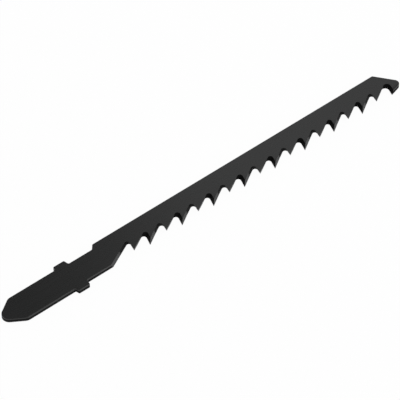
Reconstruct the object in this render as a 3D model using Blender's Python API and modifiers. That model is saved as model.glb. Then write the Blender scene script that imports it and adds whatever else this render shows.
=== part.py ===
"""A jigsaw blade with a T shank, made from one piece of sheet steel and lying on its side.

Metres, +Z up. X runs along the blade from the end of the tang to the nose, Y from the teeth
to the back, and Z through the sheet. The origin is under the middle of the blade's length,
on the shank's centre line, at the level of the tips that are set downwards.

The blank is a flat outline. Skewed gullets are then ground through its lower edge, each one
leaning the other way than its neighbours, so that every tooth has a pointed side. Last, the
teeth are bent by turns towards the side that their points are on.
"""

import math

import bmesh
import bpy
from mathutils import Matrix, Vector

MM = 0.001

# Sheet, with the soft roll that stamping leaves along the edges of the outline
OVERALL_LENGTH = 100.4 * MM
SHEET_THICKNESS = 1.0 * MM
EDGE_ROLL = 0.12 * MM
EDGE_ROLL_STEPS = 3

# Tang. Its end is a blunt point, with both flanks at one angle to the blade's length.
TANG_WIDTH = 6.2 * MM
TANG_POINT_ANGLE = math.radians(34)
TANG_POINT_RADIUS = 1.5 * MM
TANG_FLANK_RADIUS = 1.5 * MM

# Lugs, one on each side, that lock behind the clamp
LUG_SPAN = 7.9 * MM
LUG_START = 14.7 * MM
LUG_LENGTH = 2.55 * MM
LUG_SIDE_ANGLE = math.radians(10)
LUG_CORNER_RADIUS = 0.2 * MM
LUG_ROOT_RADIUS = 0.3 * MM

# Neck, and the shoulder where the back of the blade starts
NECK_WIDTH = 5.55 * MM
SHOULDER_START = 24.0 * MM
SHOULDER_ANGLE = math.radians(48)
SHOULDER_RADIUS = 0.25 * MM

# Blade, with the distance from the shank's centre line to its straight back
BACK_HEIGHT = 3.8 * MM
BLADE_WIDTH = 6.45 * MM
NOSE_ANGLE = math.radians(35)
NOSE_UNDER_ANGLE = math.radians(14)
NOSE_RADIUS = 1.0 * MM
NOSE_BACK_RADIUS = 0.4 * MM

# Teeth, which point to the shank and cut on the pull stroke, as many as fit up to the nose. The
# last one stands a little further out, and the line of the tips rises along the end of the blade.
FIRST_TOOTH = 28.85 * MM
TOOTH_PITCH = 4.0 * MM
LAST_TOOTH_SHIFT = 0.5 * MM
SHORTEST_NOSE = 2.5 * MM
TIPS_RISE_FROM = 75.0 * MM
TIPS_RISE_ANGLE = math.radians(1.0)
HOOK_ANGLE = math.radians(18)
RELIEF_ANGLE = math.radians(30)
FLEAM_ANGLE = math.radians(23)
GULLET_DEPTH = 2.5 * MM
SIDE_SET = 0.2 * MM
BEND_HEIGHT = 1.5 * MM

# The slope that runs from the neck's lower edge into the first gullet, which is a little deeper
RUN_OUT_LENGTH = 5.4 * MM
RUN_OUT_ANGLE = math.radians(27)
RUN_OUT_DEPTH = 2.8 * MM

# How far the grinding reaches past the sheet, and the stock that it takes off below the tips
CUTTER_OVERLAP = 1.0 * MM
GRINDING_STOCK = 0.3 * MM

# How finely arcs are drawn, in radians for each straight piece, and the largest share of a side
# that one of its two arcs may take up
ARC_STEP = math.radians(9)
ARC_SHARE = 0.48

# Edges that turn by more than this look sharp, and faces that turn by less than this are one face
SHARP_FROM = math.radians(35)
FLAT_WITHIN = math.radians(0.1)

TIP_LEVEL = BACK_HEIGHT - BLADE_WIDTH
BLANK_LEVEL = TIP_LEVEL - GRINDING_STOCK
SHEET_MIDDLE = SIDE_SET + SHEET_THICKNESS / 2
GULLET_LEAN = SHEET_THICKNESS / 2 * math.tan(FLEAM_ANGLE)
TOOTH_COUNT = math.floor((OVERALL_LENGTH - SHORTEST_NOSE - FIRST_TOOTH) / TOOTH_PITCH) + 1


def tooth_tip(index):
    """Distance of a tip from the end of the tang, and its level. Teeth count from 0 at the shank."""
    place = FIRST_TOOTH + index * TOOTH_PITCH
    if index == TOOTH_COUNT - 1:
        place += LAST_TOOTH_SHIFT
    rise = max(0, place - TIPS_RISE_FROM) * math.tan(TIPS_RISE_ANGLE)
    return Vector((place, TIP_LEVEL + rise))


def rounded(corners):
    """Points of a closed outline whose corners, given as x, y and radius, are rounded by arcs."""
    points = []
    for number, (x, y, radius) in enumerate(corners):
        here = Vector((x, y))
        if not radius:
            points.append(here)
            continue
        to_last = Vector(corners[number - 1][:2]) - here
        to_next = Vector(corners[(number + 1) % len(corners)][:2]) - here
        opening = to_last.angle(to_next)
        side = min(to_last.length, to_next.length)
        radius = min(radius, ARC_SHARE * side * math.tan(opening / 2))
        to_last.normalize()
        to_next.normalize()
        centre = here + (to_last + to_next).normalized() * radius / math.sin(opening / 2)
        start = here + to_last * radius / math.tan(opening / 2) - centre
        turn = -(math.pi - opening) if to_last.cross(to_next) < 0 else math.pi - opening
        steps = max(2, math.ceil(abs(turn) / ARC_STEP))
        for step in range(steps + 1):
            points.append(centre + Matrix.Rotation(-turn * step / steps, 2) @ start)
    return points


def flat_solid(name, points, thickness):
    """A closed mesh object: the outline, extruded evenly to both sides of Z = 0."""
    curve = bpy.data.curves.new(name, "CURVE")
    curve.dimensions = "2D"
    curve.fill_mode = "BOTH"
    curve.extrude = thickness / 2
    spline = curve.splines.new("POLY")
    spline.points.add(len(points) - 1)
    for place, point in zip(spline.points, points):
        place.co = (point.x, point.y, 0, 1)
    spline.use_cyclic_u = True
    guide = bpy.data.objects.new(name + "_curve", curve)
    bpy.context.scene.collection.objects.link(guide)
    graph = bpy.context.evaluated_depsgraph_get()
    solid = bpy.data.objects.new(name, bpy.data.meshes.new_from_object(guide.evaluated_get(graph)))
    solid.matrix_world = guide.matrix_world
    bpy.data.objects.remove(guide)
    shape = bmesh.new()
    shape.from_mesh(solid.data)
    bmesh.ops.remove_doubles(shape, verts=shape.verts, dist=0.001 * MM)
    bmesh.ops.dissolve_limit(shape, angle_limit=FLAT_WITHIN, verts=shape.verts, edges=shape.edges)
    bmesh.ops.recalc_face_normals(shape, faces=shape.faces)
    shape.to_mesh(solid.data)
    shape.free()
    return solid


def nose_corner():
    """Where the nose's slanting front would meet its underside, if the corner weren't round."""
    along = Vector((math.cos(NOSE_UNDER_ANGLE), math.sin(NOSE_UNDER_ANGLE)))
    last_tip = tooth_tip(TOOTH_COUNT - 1)
    centre_x = OVERALL_LENGTH - NOSE_RADIUS
    foot = (centre_x + NOSE_RADIUS * along.y - last_tip.x) / along.x
    turn = math.pi / 2 - NOSE_UNDER_ANGLE + NOSE_ANGLE
    return last_tip + along * (foot + NOSE_RADIUS * math.tan(turn / 2))


def blank_outline():
    """The whole blade before grinding, from the point of the tang along the back and round."""
    tang = TANG_WIDTH / 2
    neck = NECK_WIDTH / 2
    lug = LUG_SPAN / 2
    point = TANG_POINT_RADIUS * (1 - 1 / math.sin(TANG_POINT_ANGLE))
    flank_end = point + tang / math.tan(TANG_POINT_ANGLE)
    lug_end = LUG_START + LUG_LENGTH
    lug_root = LUG_START - (lug - tang) * math.tan(LUG_SIDE_ANGLE)
    lug_stop = lug_end + (lug - neck) * math.tan(LUG_SIDE_ANGLE)
    shoulder_root = SHOULDER_START - (BACK_HEIGHT - neck) / math.tan(SHOULDER_ANGLE)
    nose = nose_corner()
    nose_back = nose.x - (BACK_HEIGHT - nose.y) * math.tan(NOSE_ANGLE)
    last_tip = tooth_tip(TOOTH_COUNT - 1)
    under_start = last_tip.x - (last_tip.y - BLANK_LEVEL) / math.tan(NOSE_UNDER_ANGLE)
    step_place = FIRST_TOOTH - TOOTH_PITCH / 2
    return rounded([
        (point, 0, TANG_POINT_RADIUS),
        (flank_end, tang, TANG_FLANK_RADIUS),
        (lug_root, tang, LUG_ROOT_RADIUS),
        (LUG_START, lug, LUG_CORNER_RADIUS),
        (lug_end, lug, LUG_CORNER_RADIUS),
        (lug_stop, neck, LUG_ROOT_RADIUS),
        (shoulder_root, neck, SHOULDER_RADIUS),
        (SHOULDER_START, BACK_HEIGHT, SHOULDER_RADIUS),
        (nose_back, BACK_HEIGHT, NOSE_BACK_RADIUS),
        (nose.x, nose.y, NOSE_RADIUS),
        (under_start, BLANK_LEVEL, 0),
        (step_place, BLANK_LEVEL, 0),
        (step_place, -neck, 0),
        (lug_stop, -neck, LUG_ROOT_RADIUS),
        (lug_end, -lug, LUG_CORNER_RADIUS),
        (LUG_START, -lug, LUG_CORNER_RADIUS),
        (lug_root, -tang, LUG_ROOT_RADIUS),
        (flank_end, -tang, TANG_FLANK_RADIUS),
    ])


def gullet_outline(index):
    """The gullet in front of a tooth: up the slope behind the last tooth, round, and down this one's face."""
    lean = Vector((GULLET_LEAN, 0))
    face_foot = tooth_tip(index) + lean
    face = Vector((math.sin(HOOK_ANGLE), math.cos(HOOK_ANGLE)))
    if index == 0:
        slope_foot = Vector((FIRST_TOOTH - RUN_OUT_LENGTH, -NECK_WIDTH / 2))
        slope_angle = RUN_OUT_ANGLE
        depth = RUN_OUT_DEPTH
    else:
        slope_foot = tooth_tip(index - 1) - lean
        slope_angle = RELIEF_ANGLE
        depth = GULLET_DEPTH
    slope = Vector((math.cos(slope_angle), math.sin(slope_angle)))
    reach = (face_foot - slope_foot).cross(face) / slope.cross(face)
    root = slope_foot + slope * reach
    arc_drop = (slope + face).normalized().y / math.sin(slope.angle(face) / 2) - 1
    radius = max(0, (root.y - face_foot.y - depth) / arc_drop)
    floor = BLANK_LEVEL - CUTTER_OVERLAP
    slope_end = root + slope * (floor - root.y) / slope.y
    face_end = root + face * (floor - root.y) / face.y
    return rounded([(slope_end.x, floor, 0), (root.x, root.y, radius), (face_end.x, floor, 0)])


def gullet_cutter(index):
    """A leaning prism through the sheet. Odd and even gullets lean to opposite ends of the blade."""
    cutter = flat_solid(f"gullet_{index + 1}", gullet_outline(index), SHEET_THICKNESS + 2 * CUTTER_OVERLAP)
    lean = math.tan(FLEAM_ANGLE) * side_of(index)
    skew = Matrix.Identity(4)
    skew[0][2] = -lean
    cutter.data.transform(skew)
    cutter.location.z = SHEET_MIDDLE
    cutter.hide_render = True
    cutter.display_type = "WIRE"
    return cutter


def side_of(index):
    """1 for a tooth whose point is on the upper side of the sheet, -1 for one on the lower side."""
    return 1 if index % 2 == 0 else -1


def blank():
    """The stamped sheet, with rolled edges all round. The teeth are ground later, so theirs stay sharp."""
    sheet = flat_solid("blank", blank_outline(), SHEET_THICKNESS)
    sheet.location.z = SHEET_MIDDLE
    edges = sheet.modifiers.new("edge_roll", "BEVEL")
    edges.width = EDGE_ROLL
    edges.segments = EDGE_ROLL_STEPS
    edges.limit_method = "ANGLE"
    edges.angle_limit = math.radians(60)
    edges.use_clamp_overlap = False
    return sheet


def set_teeth(mesh):
    """Bends each tooth below the bend line, straight, so that its faces stay flat."""
    bend_level = TIP_LEVEL + BEND_HEIGHT
    shape = bmesh.new()
    shape.from_mesh(mesh)
    everything = shape.verts[:] + shape.edges[:] + shape.faces[:]
    bmesh.ops.bisect_plane(
        shape, geom=everything, plane_co=(0, bend_level, 0), plane_no=(0, 1, 0), dist=0.001 * MM
    )
    for vert in shape.verts:
        tooth = math.floor((vert.co.x - FIRST_TOOTH + GULLET_LEAN) / TOOTH_PITCH)
        below = bend_level - vert.co.y
        if tooth >= 0 and below > 0:
            side = side_of(min(tooth, TOOTH_COUNT - 1))
            vert.co.z += side * SIDE_SET * below / BEND_HEIGHT
    bmesh.ops.recalc_face_normals(shape, faces=shape.faces)
    shape.to_mesh(mesh)
    shape.free()


def black_steel():
    """Hardened carbon steel with a black finish."""
    material = bpy.data.materials.new("black_carbon_steel")
    material.use_nodes = True
    shader = material.node_tree.nodes["Principled BSDF"]
    shader.inputs["Base Color"].default_value = (0.03, 0.032, 0.031, 1)
    shader.inputs["Metallic"].default_value = 0.4
    shader.inputs["Roughness"].default_value = 0.45
    return material


def clear_scene():
    for thing in list(bpy.data.objects):
        bpy.data.objects.remove(thing)


def new_collection(name):
    collection = bpy.data.collections.new(name)
    bpy.context.scene.collection.children.link(collection)
    return collection


def build():
    clear_scene()
    parts = new_collection("jigsaw_blade")
    sheet = blank()
    parts.objects.link(sheet)
    for lean_name, first in (("gullets_up", 0), ("gullets_down", 1)):
        cutters = new_collection(lean_name)
        cutters.hide_render = True
        for index in range(first, TOOTH_COUNT, 2):
            cutters.objects.link(gullet_cutter(index))
        grind = sheet.modifiers.new(lean_name, "BOOLEAN")
        grind.operation = "DIFFERENCE"
        grind.solver = "EXACT"
        grind.operand_type = "COLLECTION"
        grind.collection = cutters
    graph = bpy.context.evaluated_depsgraph_get()
    ground = bpy.data.meshes.new_from_object(sheet.evaluated_get(graph))
    bpy.data.objects.remove(sheet)
    ground.transform(Matrix.Translation((0, 0, SHEET_MIDDLE)))
    set_teeth(ground)
    ground.shade_smooth()
    ground.set_sharp_from_angle(angle=SHARP_FROM)
    blade = bpy.data.objects.new("blade", ground)
    blade.location.x = -OVERALL_LENGTH / 2
    parts.objects.link(blade)
    blade.data.materials.clear()
    blade.data.materials.append(black_steel())


build()
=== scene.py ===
"""The looks of a jigsaw blade with a T shank: its black finish, and the floor, light and camera.

Laid out as a Blender add-on, and run as a script. Metres, +Z up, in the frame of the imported
part: X along the blade from the end of the tang to the nose, Y from the teeth to the back, and
Z through the sheet. The blade lies on the floor on the tips of its down-set teeth.
"""

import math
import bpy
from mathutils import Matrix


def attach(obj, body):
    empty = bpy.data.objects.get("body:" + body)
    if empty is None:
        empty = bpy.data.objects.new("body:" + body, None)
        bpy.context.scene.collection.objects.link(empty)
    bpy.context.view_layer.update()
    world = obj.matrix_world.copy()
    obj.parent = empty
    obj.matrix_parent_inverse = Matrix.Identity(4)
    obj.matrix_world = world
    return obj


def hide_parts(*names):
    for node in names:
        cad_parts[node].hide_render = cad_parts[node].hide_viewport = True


bl_info = {
    "name": "Jigsaw Blade",
    "version": (1, 0, 0),
    "blender": (4, 5, 0),
    "location": "3D View > Sidebar > Jigsaw Blade",
    "description": "Finishes a packed jigsaw blade and sets it in a pale studio",
    "category": "Object",
}

import bmesh
import bpy
from bpy.props import FloatProperty, FloatVectorProperty, PointerProperty, StringProperty
from bpy.types import Operator, Panel, PropertyGroup
from mathutils import Matrix, Vector

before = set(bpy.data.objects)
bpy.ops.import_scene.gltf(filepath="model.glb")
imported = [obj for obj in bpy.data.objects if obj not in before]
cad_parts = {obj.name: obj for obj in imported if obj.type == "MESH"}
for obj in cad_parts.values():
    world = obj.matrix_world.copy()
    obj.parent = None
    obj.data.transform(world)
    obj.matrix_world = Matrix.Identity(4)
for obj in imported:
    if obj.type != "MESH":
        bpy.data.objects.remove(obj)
bpy.context.view_layer.update()

MM = 0.001

# Where the ground teeth begin and end along the blade, and how far up their gullets reach
RUN_OUT_START = -26.9 * MM
LAST_TIP = 47.15 * MM
LAST_GROUND = LAST_TIP + 1.5 * MM
GULLET_TOP = 0.3 * MM

# The short underside of the nose, past the last tip, is stamped up to this level
NOSE_UNDERSIDE_TOP = -1.2 * MM

# On a tooth's back the painted shade of the gullets, near-black, starts at this level, after a soft
# change below it
GULLET_SHADE_FROM = -1.05 * MM
GULLET_SHADE_FADE = 0.5 * MM

# A stamped wall is smooth above this level, where the punch sheared it, and torn below
SHEARED_FROM = 0.89 * MM

# How far a normal leans to Z on a flat side and on a rolled edge, and to X on a tooth's back
FLAT_LEAN = 0.98
ROLLED_LEAN = 0.5
BACK_TURN = 0.35

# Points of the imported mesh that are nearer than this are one, and so are faces that turn less
SAME_POINT = 0.002 * MM
SAME_FACE = math.radians(0.3)

# Points that are nearer to a cut than this lie on it
ON_THE_CUT = 0.001 * MM

# Edges that turn more than this are sharp, and the ground ones among them are worn
SHARP_TURN = math.radians(35)

# Places of the finishes in the blade's list of materials
ROLLED, STAMPED, TOOTH_BACK, GULLET, SHEARED = range(5)

# Sockets of Blender's Mix node when it mixes colours
MIX_FACTOR, MIX_FIRST, MIX_SECOND, MIX_RESULT = 0, 6, 7, 2

# Nearly all of a noise, which runs from 0 to 1, lies between these
NOISE_LOW, NOISE_HIGH = 0.25, 0.75

# Heights where the studio's walls end and its ceiling begins, as sines of the angle above level
WALL_TOP = 0.30
CEILING_START = 0.62

# The floor lies a hair below the tips that the blade rests on
FLOOR_LEVEL = -0.02 * MM

# Place, aim and two sides of each softbox
SOFTBOXES = {
    "key_softbox": ((0.60, -0.62, 0.90), (0, 0, 0), (1.1, 1.1)),
    "back_softbox": ((0.12, 0.12, 0.16), (0.03, 0, 0), (0.10, 0.10)),
    "nose_softbox": ((0.122, 0.08, 0.104), (0.122, 0, 0), (0.14, 0.08)),
}


class JigsawBladeFinish(PropertyGroup):
    """The blade's edges and the colours of its finish."""

    edge_break: FloatProperty(
        name="Edge Break",
        description="Width of the worn line along each ground edge of a tooth",
        default=0.03 * MM,
        min=0,
        unit="LENGTH",
    )
    mottle_size: FloatProperty(
        name="Mottle Size",
        description="Size of the soft waves in the black finish",
        default=0.9 * MM,
        min=0.05 * MM,
        unit="LENGTH",
    )
    grain_spacing: FloatProperty(
        name="Rolling Grain",
        description="Distance between the rolling lines that show through the finish",
        default=0.25 * MM,
        min=0.02 * MM,
        unit="LENGTH",
    )
    grinding_spacing: FloatProperty(
        name="Grinding Marks",
        description="Distance between the scratches that the grinding wheel left on the teeth",
        default=0.12 * MM,
        min=0.02 * MM,
        unit="LENGTH",
    )
    face_colour: StringProperty(
        name="Face Colour",
        description="Finish on the flat sides, as an sRGB hex value",
        default="141515",
    )
    sheared_colour: StringProperty(
        name="Sheared Edge Colour",
        description="Finish on the smooth band that the punch sheared, as an sRGB hex value",
        default="141515",
    )
    stamped_colour: StringProperty(
        name="Stamped Edge Colour",
        description="Finish on the rough stamped edges, as an sRGB hex value",
        default="121212",
    )
    # The tooth backs' colour is lighter than the flat sides as a painted sheen, for the floor that they
    # mirror
    slope_colour_and_sheen: StringProperty(
        name="Tooth Back Colour",
        description="Finish on the ground slopes behind the tips, as an sRGB hex value",
        default="2B2C2C",
    )
    # The gullets' colour is the black finish, darkened a little as painted shade
    gullet_colour_and_shade: StringProperty(
        name="Gullet Colour",
        description="Finish on the fronts of the teeth and in the gullets, as an sRGB hex value",
        default="111111",
    )


class JigsawBladeStudio(PropertyGroup):
    """The floor, the lights and the camera."""

    floor_radius: FloatProperty(
        name="Floor Radius",
        description="Radius of the round floor",
        default=3.0,
        min=0.5,
        unit="LENGTH",
    )
    floor_colour: StringProperty(
        name="Floor Colour",
        description="Opal sheet of the light table, as an sRGB hex value",
        default="3A3A3A",
    )
    floor_glow: FloatProperty(
        name="Floor Glow",
        description="Light that the table sends up through its opal sheet",
        default=0.965,
        min=0,
    )
    wall_colour: StringProperty(
        name="Wall Colour",
        description="Pale wall all round the studio, as an sRGB hex value",
        default="F7F7F7",
    )
    ceiling_colour: StringProperty(
        name="Ceiling Colour",
        description="Grey ceiling that the flat side of the blade mirrors, as an sRGB hex value",
        default="868686",
    )
    key_power: FloatProperty(
        name="Key Light",
        description="Power of the large softbox above the tooth side",
        default=6.0,
        min=0,
        unit="POWER",
    )
    back_power: FloatProperty(
        name="Back Light",
        description="Power of the small softbox behind the blade, which the flat side mirrors softly",
        default=0.0078,
        min=0,
        unit="POWER",
    )
    nose_power: FloatProperty(
        name="Nose Light",
        description="Power of the softbox that brightens the flat side from its middle to the nose",
        default=0.0112,
        min=0,
        unit="POWER",
    )
    camera_aim: FloatVectorProperty(
        name="Camera Aim",
        description="Point at the middle of the picture",
        default=(-0.002711, -0.000157, 0.0007),
        size=3,
        subtype="XYZ",
        unit="LENGTH",
    )
    camera_azimuth: FloatProperty(
        name="Camera Azimuth",
        description="Turn of the camera round the blade, 0 looking along +Y",
        default=math.radians(-40.83),
        subtype="ANGLE",
    )
    camera_elevation: FloatProperty(
        name="Camera Elevation",
        description="Height of the camera above the horizon",
        default=math.radians(44.23),
        subtype="ANGLE",
    )
    camera_roll: FloatProperty(
        name="Camera Roll",
        description="Turn of the picture about its middle",
        default=math.radians(-0.18),
        subtype="ANGLE",
    )
    camera_distance: FloatProperty(
        name="Camera Distance",
        description="Distance from the camera to its aim",
        default=0.4224,
        min=0.05,
        unit="LENGTH",
    )
    camera_lens: FloatProperty(
        name="Lens",
        description="Focal length on a 36 mm sensor",
        default=197.13,
        min=10,
        unit="CAMERA",
    )


def linear(hex_value):
    """An sRGB hex value as linear red, green and blue, by the standard's own curve, and full alpha."""
    channels = [int(hex_value[place:place + 2], 16) / 255 for place in (0, 2, 4)]
    return [c / 12.92 if c <= 0.04045 else ((c + 0.055) / 1.055) ** 2.4 for c in channels] + [1.0]


def add_node(tree, kind, inputs=None, **settings):
    """Adds a node with its settings. An input is a value, or the output socket that feeds it."""
    node = tree.nodes.new(kind)
    for name, value in settings.items():
        setattr(node, name, value)
    for name, value in (inputs or {}).items():
        socket = node.inputs[name]
        if isinstance(value, bpy.types.NodeSocket):
            tree.links.new(value, socket)
        else:
            socket.default_value = value
    return node


def new_material(name):
    """An empty material with its shader, ready for nodes."""
    material = bpy.data.materials.new(name)
    material.use_nodes = True
    return material, material.node_tree, material.node_tree.nodes["Principled BSDF"]


def set_inputs(shader, values):
    """Sets the shader's own sockets to values that are the same all over the surface."""
    for name, value in values.items():
        shader.inputs[name].default_value = value


def stretched_noise(tree, spacing, detail):
    """Noise of the given spacing, in metres along X, Y and Z, as one output from 0 to 1."""
    place = add_node(tree, "ShaderNodeTexCoord").outputs["Object"]
    scale = [1 / length for length in spacing]
    mapped = add_node(tree, "ShaderNodeMapping", {"Vector": place, "Scale": scale}, vector_type="POINT")
    noise = add_node(
        tree, "ShaderNodeTexNoise",
        {"Vector": mapped.outputs["Vector"], "Scale": 1.0, "Detail": detail, "Roughness": 0.55},
        noise_dimensions="3D",
    )
    return noise.outputs["Fac"]


def shaded(tree, colour, noise, change):
    """The colour, made darker and lighter by up to the given share as the noise goes."""
    dark = [channel * (1 - change) for channel in colour[:3]] + [1.0]
    light = [channel * (1 + change) for channel in colour[:3]] + [1.0]
    share = add_node(
        tree, "ShaderNodeMapRange", {"Value": noise, "From Min": NOISE_LOW, "From Max": NOISE_HIGH}
    ).outputs["Result"]
    return add_node(
        tree, "ShaderNodeMix",
        {MIX_FACTOR: share, MIX_FIRST: dark, MIX_SECOND: light}, data_type="RGBA",
    ).outputs[MIX_RESULT]


def black_finish(name, shine):
    """The black finish on a steel, ready for its nodes. It is a thin coat and no bare metal."""
    material, tree, shader = new_material(name)
    set_inputs(shader, {"Metallic": 0.0, "IOR": 1.5, "Specular IOR Level": shine})
    return material, tree, shader


def roughen(tree, shader, relief, roughness, strength, depth):
    """Gives the surface a fine relief, which is rougher where it stands higher."""
    low, high = roughness
    rough = add_node(
        tree, "ShaderNodeMapRange",
        {"Value": relief, "From Min": NOISE_LOW, "From Max": NOISE_HIGH, "To Min": low, "To Max": high},
    ).outputs["Result"]
    tree.links.new(rough, shader.inputs["Roughness"])
    bump = add_node(tree, "ShaderNodeBump", {"Height": relief, "Strength": strength, "Distance": depth})
    tree.links.new(bump.outputs["Normal"], shader.inputs["Normal"])


def rolled_black_steel(finish):
    """Cold-rolled carbon steel sheet under a baked black finish. The finish flows level, so the
    sides are smooth and satin, with slow waves and only a trace of the rolling lines. Real lines
    are too fine for the picture, so they are drawn as coarse as it can show."""
    material, tree, shader = black_finish("cold_rolled_steel_black_finish", shine=0.5)
    waves = stretched_noise(tree, (finish.mottle_size,) * 3, detail=3.0)
    across = finish.grain_spacing
    drawn_out = across * 24
    grain = stretched_noise(tree, (drawn_out, across, across), detail=2.0)
    base = shaded(tree, linear(finish.face_colour), waves, change=0.12)
    tree.links.new(base, shader.inputs["Base Color"])
    roughen(tree, shader, grain, roughness=(0.25, 0.33), strength=0.1, depth=0.005 * MM)
    return material


def stamped_black_steel(finish):
    """The same steel where the die sheared and tore it. The torn wall is rough under its finish,
    so it stays matt and nearly black from every side."""
    material, tree, shader = black_finish("stamped_steel_edge_black_finish", shine=0.1)
    torn = stretched_noise(tree, (0.10 * MM, 0.10 * MM, 0.35 * MM), detail=4.0)
    base = shaded(tree, linear(finish.stamped_colour), torn, change=0.2)
    tree.links.new(base, shader.inputs["Base Color"])
    roughen(tree, shader, torn, roughness=(0.7, 0.9), strength=0.3, depth=0.02 * MM)
    return material


def sheared_black_steel(finish):
    """The same steel where the punch slid along the wall before it tore. The band is smooth but for
    fine upright lines, so it shines softly under its finish. The lines show from near only."""
    material, tree, shader = black_finish("sheared_steel_edge_black_finish", shine=0.4)
    lines = stretched_noise(tree, (0.06 * MM, 0.06 * MM, 0.8 * MM), detail=2.0)
    base = shaded(tree, linear(finish.sheared_colour), lines, change=0.1)
    tree.links.new(base, shader.inputs["Base Color"])
    roughen(tree, shader, lines, roughness=(0.3, 0.4), strength=0.1, depth=0.005 * MM)
    return material


def ground_black_steel(finish, name, colour, shine):
    """The tooth steel, ground by a wheel and then blackened. The wheel's scratches run through the
    sheet and show under the thin finish. The slopes behind the tips are coloured lighter than the flat
    sides as a painted sheen, for the floor that they mirror, and towards the gullets' roots the colour
    darkens to near-black as painted shade. The scratches are drawn coarser than the grit of a real
    wheel would leave them, or they wouldn't show."""
    material, tree, shader = black_finish(name, shine)
    spacing = finish.grinding_spacing
    drawn_out = spacing * 12
    scratches = stretched_noise(tree, (spacing, spacing, drawn_out), detail=3.0)
    place = add_node(tree, "ShaderNodeTexCoord").outputs["Object"]
    level = add_node(tree, "ShaderNodeSeparateXYZ", {"Vector": place}).outputs["Y"]
    # Painted shade: the colour runs to near-black towards the roots of the gullets
    gullet_shade_share = add_node(
        tree, "ShaderNodeMapRange",
        {"Value": level, "From Min": GULLET_SHADE_FROM - GULLET_SHADE_FADE, "From Max": GULLET_SHADE_FROM},
        interpolation_type="SMOOTHSTEP",
    ).outputs["Result"]
    # On the tooth backs this colour is lighter as a painted sheen, with the wheel's real scratches over
    # it
    scratched = shaded(tree, linear(colour), scratches, change=0.2)
    gullet_shade = linear(finish.gullet_colour_and_shade)
    base = add_node(
        tree, "ShaderNodeMix",
        {MIX_FACTOR: gullet_shade_share, MIX_FIRST: scratched, MIX_SECOND: gullet_shade}, data_type="RGBA",
    ).outputs[MIX_RESULT]
    tree.links.new(base, shader.inputs["Base Color"])
    roughen(tree, shader, scratches, roughness=(0.45, 0.6), strength=0.25, depth=0.01 * MM)
    return material


def face_finish(face):
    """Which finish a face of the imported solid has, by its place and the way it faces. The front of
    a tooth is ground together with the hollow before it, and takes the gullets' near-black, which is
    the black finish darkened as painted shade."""
    lean = abs(face.normal.z)
    centre = face.calc_center_median()
    in_teeth = RUN_OUT_START < centre.x and centre.y < GULLET_TOP
    nose_underside = centre.x > LAST_TIP and face.normal.x > 0 and centre.y < NOSE_UNDERSIDE_TOP
    if lean > FLAT_LEAN:
        return ROLLED
    if in_teeth and not nose_underside and centre.x < LAST_GROUND:
        return TOOTH_BACK if face.normal.x > BACK_TURN else GULLET
    return ROLLED if lean > ROLLED_LEAN else STAMPED


def split_finish(shape, kind, beyond, axis, level):
    """Cuts the faces of one finish at a level, and gives the part beyond it another finish. The
    parts to cut are kept in a dict, whose order is the same each run."""
    faces = [face for face in shape.faces if face.material_index == kind]
    parts = dict.fromkeys(faces)
    for face in faces:
        parts.update(dict.fromkeys([*face.edges, *face.verts]))
    across = Vector([1.0 if name == axis else 0.0 for name in "xyz"])
    bmesh.ops.bisect_plane(
        shape, geom=list(parts), dist=ON_THE_CUT, plane_co=across * level, plane_no=across
    )
    for face in shape.faces:
        if face.material_index == kind and face.calc_center_median().dot(across) > level:
            face.material_index = beyond


def finish_faces(shape):
    """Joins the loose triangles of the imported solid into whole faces, and gives each its finish."""
    bmesh.ops.remove_doubles(shape, verts=shape.verts, dist=SAME_POINT)
    bmesh.ops.dissolve_limit(shape, angle_limit=SAME_FACE, verts=shape.verts, edges=shape.edges)
    bmesh.ops.recalc_face_normals(shape, faces=shape.faces)
    for face in shape.faces:
        face.material_index = face_finish(face)
        face.smooth = True
    split_finish(shape, STAMPED, SHEARED, "z", SHEARED_FROM)
    # Tooth backs above this level take the gullets' near-black, as painted shade
    split_finish(shape, TOOTH_BACK, GULLET, "y", GULLET_SHADE_FROM)


def mark_edges(shape):
    """Marks the sharp edges, and weighs the ground ones among them for the worn bevel."""
    weight = shape.edges.layers.float.new("bevel_weight_edge")
    for edge in shape.edges:
        ground = any(face.material_index in (TOOTH_BACK, GULLET) for face in edge.link_faces)
        turned = edge.calc_face_angle(0)
        edge.smooth = turned < SHARP_TURN
        edge[weight] = 1.0 if ground and turned > SHARP_TURN else 0.0


class JIGSAWBLADE_OT_blade(Operator):
    """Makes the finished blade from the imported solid, which it stands for"""

    bl_idname = "jigsaw_blade.blade"
    bl_label = "Finish Blade"
    bl_options = {"REGISTER", "UNDO"}

    def execute(self, context):
        finish = context.scene.jigsaw_blade_finish
        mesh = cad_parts["blade"].data.copy()
        mesh.name = "finished_blade"
        mesh.materials.clear()
        slope_sheen, gullet_shade = finish.slope_colour_and_sheen, finish.gullet_colour_and_shade
        for material in (
            rolled_black_steel(finish),
            stamped_black_steel(finish),
            # This material's lighter colour is a painted sheen on the tooth backs
            ground_black_steel(finish, "ground_tooth_back_black_and_painted_sheen", slope_sheen, shine=0.3),
            # This material's near-black is the black finish darkened as painted shade
            ground_black_steel(finish, "ground_gullet_black_and_painted_shade", gullet_shade, shine=0.03),
            sheared_black_steel(finish),
        ):
            mesh.materials.append(material)
        shape = bmesh.new()
        shape.from_mesh(mesh)
        finish_faces(shape)
        mark_edges(shape)
        shape.to_mesh(mesh)
        shape.free()
        piece = bpy.data.objects.new("finished_blade", mesh)
        context.scene.collection.objects.link(piece)
        worn = piece.modifiers.new("worn_edges", "BEVEL")
        worn.width = finish.edge_break
        worn.segments = 2
        worn.limit_method = "WEIGHT"
        worn.use_clamp_overlap = True
        even = piece.modifiers.new("even_normals", "WEIGHTED_NORMAL")
        even.keep_sharp = True
        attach(piece, "root")
        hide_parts("blade")
        return {"FINISHED"}


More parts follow.
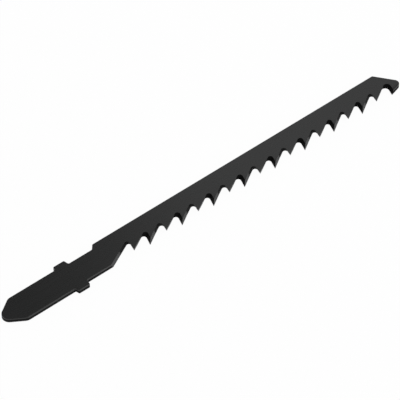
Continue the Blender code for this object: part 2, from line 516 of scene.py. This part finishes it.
def area_light(name, place, aim, size, power):
    """A softbox that faces its aim and isn't seen itself."""
    lamp = bpy.data.lights.new(name, "AREA")
    lamp.shape = "RECTANGLE"
    lamp.size, lamp.size_y = size
    lamp.energy = power
    light = bpy.data.objects.new(name, lamp)
    light.location = place
    light.rotation_euler = (Vector(aim) - Vector(place)).to_track_quat("-Z", "Y").to_euler()
    light.visible_camera = False
    bpy.context.scene.collection.objects.link(light)


def studio_walls(scene, studio):
    """Pale walls up to a grey ceiling, as the light that comes from all round."""
    world = bpy.data.worlds.new("studio")
    world.use_nodes = True
    scene.world = world
    tree = world.node_tree
    direction = add_node(tree, "ShaderNodeTexCoord").outputs["Generated"]
    height = add_node(tree, "ShaderNodeSeparateXYZ", {"Vector": direction}).outputs["Z"]
    rise = add_node(
        tree, "ShaderNodeMapRange", {"Value": height, "From Min": WALL_TOP, "From Max": CEILING_START},
        interpolation_type="SMOOTHSTEP",
    ).outputs["Result"]
    wall, ceiling = linear(studio.wall_colour), linear(studio.ceiling_colour)
    light = add_node(
        tree, "ShaderNodeMix",
        {MIX_FACTOR: rise, MIX_FIRST: wall, MIX_SECOND: ceiling}, data_type="RGBA",
    ).outputs[MIX_RESULT]
    background = tree.nodes["Background"]
    tree.links.new(light, background.inputs["Color"])
    background.inputs["Strength"].default_value = 1.0


def floor(studio):
    """A round light table, under the tips that the blade lies on. Its glow washes out shadows."""
    mesh = bpy.data.meshes.new("floor")
    shape = bmesh.new()
    bmesh.ops.create_circle(shape, cap_ends=True, segments=96, radius=studio.floor_radius)
    shape.to_mesh(mesh)
    shape.free()
    material, tree, shader = new_material("opal_acrylic_light_table")
    set_inputs(shader, {
        "Base Color": linear(studio.floor_colour),
        "Roughness": 1.0,
        "Specular IOR Level": 0.0,
        "Emission Color": linear("FFFFFF"),
        "Emission Strength": studio.floor_glow,
    })
    mesh.materials.append(material)
    ground = bpy.data.objects.new("floor", mesh)
    ground.location.z = FLOOR_LEVEL
    bpy.context.scene.collection.objects.link(ground)


def camera(scene, studio):
    """The camera, at the picture's own view of the blade."""
    azimuth, elevation = studio.camera_azimuth, studio.camera_elevation
    back = Vector((
        math.sin(azimuth) * math.cos(elevation),
        -math.cos(azimuth) * math.cos(elevation),
        math.sin(elevation),
    ))
    right = Vector((math.cos(azimuth), math.sin(azimuth), 0))
    up = back.cross(right)
    turned = Matrix((right, up, back)).transposed() @ Matrix.Rotation(studio.camera_roll, 3, "Z")
    lens = bpy.data.cameras.new("camera")
    lens.lens = studio.camera_lens
    lens.sensor_width = 36
    lens.clip_start, lens.clip_end = 0.01, 20
    eye = bpy.data.objects.new("camera", lens)
    eye.matrix_world = Matrix.Translation(
        Vector(studio.camera_aim) + back * studio.camera_distance
    ) @ turned.to_4x4()
    scene.collection.objects.link(eye)
    scene.camera = eye


class JIGSAWBLADE_OT_stage(Operator):
    """Sets the pale floor, the studio light and the camera"""

    bl_idname = "jigsaw_blade.stage"
    bl_label = "Set Stage"
    bl_options = {"REGISTER", "UNDO"}

    def execute(self, context):
        scene = context.scene
        studio = scene.jigsaw_blade_studio
        scene.view_settings.view_transform = "Standard"
        studio_walls(scene, studio)
        floor(studio)
        for name, power in (
            ("key_softbox", studio.key_power),
            ("back_softbox", studio.back_power),
            ("nose_softbox", studio.nose_power),
        ):
            area_light(name, *SOFTBOXES[name], power)
        camera(scene, studio)
        return {"FINISHED"}


class JIGSAWBLADE_PT_panel(Panel):
    """Lists the blade's finish, the studio and the buttons that make them"""

    bl_idname = "JIGSAWBLADE_PT_panel"
    bl_label = "Jigsaw Blade"
    bl_space_type = "VIEW_3D"
    bl_region_type = "UI"
    bl_category = "Jigsaw Blade"

    def draw(self, context):
        for group in (context.scene.jigsaw_blade_finish, context.scene.jigsaw_blade_studio):
            box = self.layout.box()
            for name in group.__annotations__:
                box.prop(group, name)
        self.layout.operator(JIGSAWBLADE_OT_stage.bl_idname)
        self.layout.operator(JIGSAWBLADE_OT_blade.bl_idname)


CLASSES = (
    JigsawBladeFinish,
    JigsawBladeStudio,
    JIGSAWBLADE_OT_stage,
    JIGSAWBLADE_OT_blade,
    JIGSAWBLADE_PT_panel,
)


def register():
    for item in CLASSES:
        bpy.utils.register_class(item)
    bpy.types.Scene.jigsaw_blade_finish = PointerProperty(type=JigsawBladeFinish)
    bpy.types.Scene.jigsaw_blade_studio = PointerProperty(type=JigsawBladeStudio)


def unregister():
    del bpy.types.Scene.jigsaw_blade_studio
    del bpy.types.Scene.jigsaw_blade_finish
    for item in reversed(CLASSES):
        bpy.utils.unregister_class(item)


def main():
    register()
    bpy.ops.jigsaw_blade.stage()
    bpy.ops.jigsaw_blade.blade()
    bpy.context.view_layer.update()


if __name__ == "__main__":
    main()
